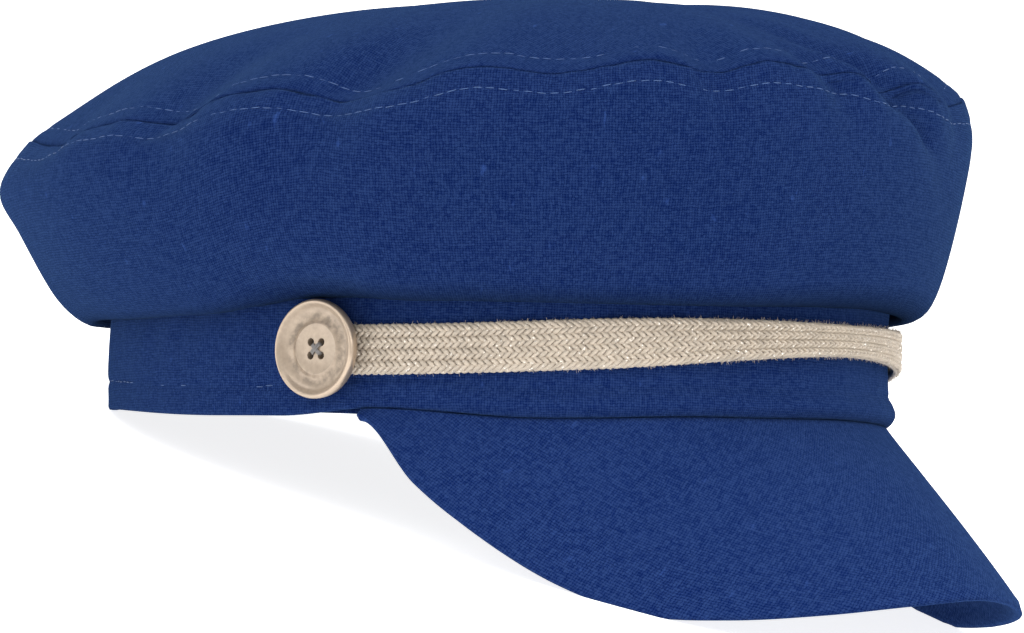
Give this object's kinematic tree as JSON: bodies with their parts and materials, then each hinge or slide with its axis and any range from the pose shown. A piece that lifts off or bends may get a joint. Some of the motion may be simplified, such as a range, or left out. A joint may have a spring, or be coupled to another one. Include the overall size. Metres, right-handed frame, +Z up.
{
  "type": "fisherman cap",
  "caption": "Breton fisherman cap in linen cloth with a full gathered crown, a headband, a curved peak, and a braid held by a button on each side.",
  "frame": {"origin": "middle of the bounding box, on the surface that the cap rests on", "axes": "+X towards the front of the cap, where the peak is, +Y towards its left side, +Z up"},
  "size_m": [0.2906, 0.2174, 0.1402],
  "materials": {
    "linen": "matte navy blue linen in a plain weave with slubs",
    "braid": "flat cream braid with a little sheen",
    "button": "pearly beige, worn satin"
  },
  "bodies": {
    "root": {"crown_top": "linen", "crown_side": "linen", "headband": "linen", "peak": "linen", "braid": "braid", "button_right": "button", "button_left": "button"}
  },
  "joints": []
}
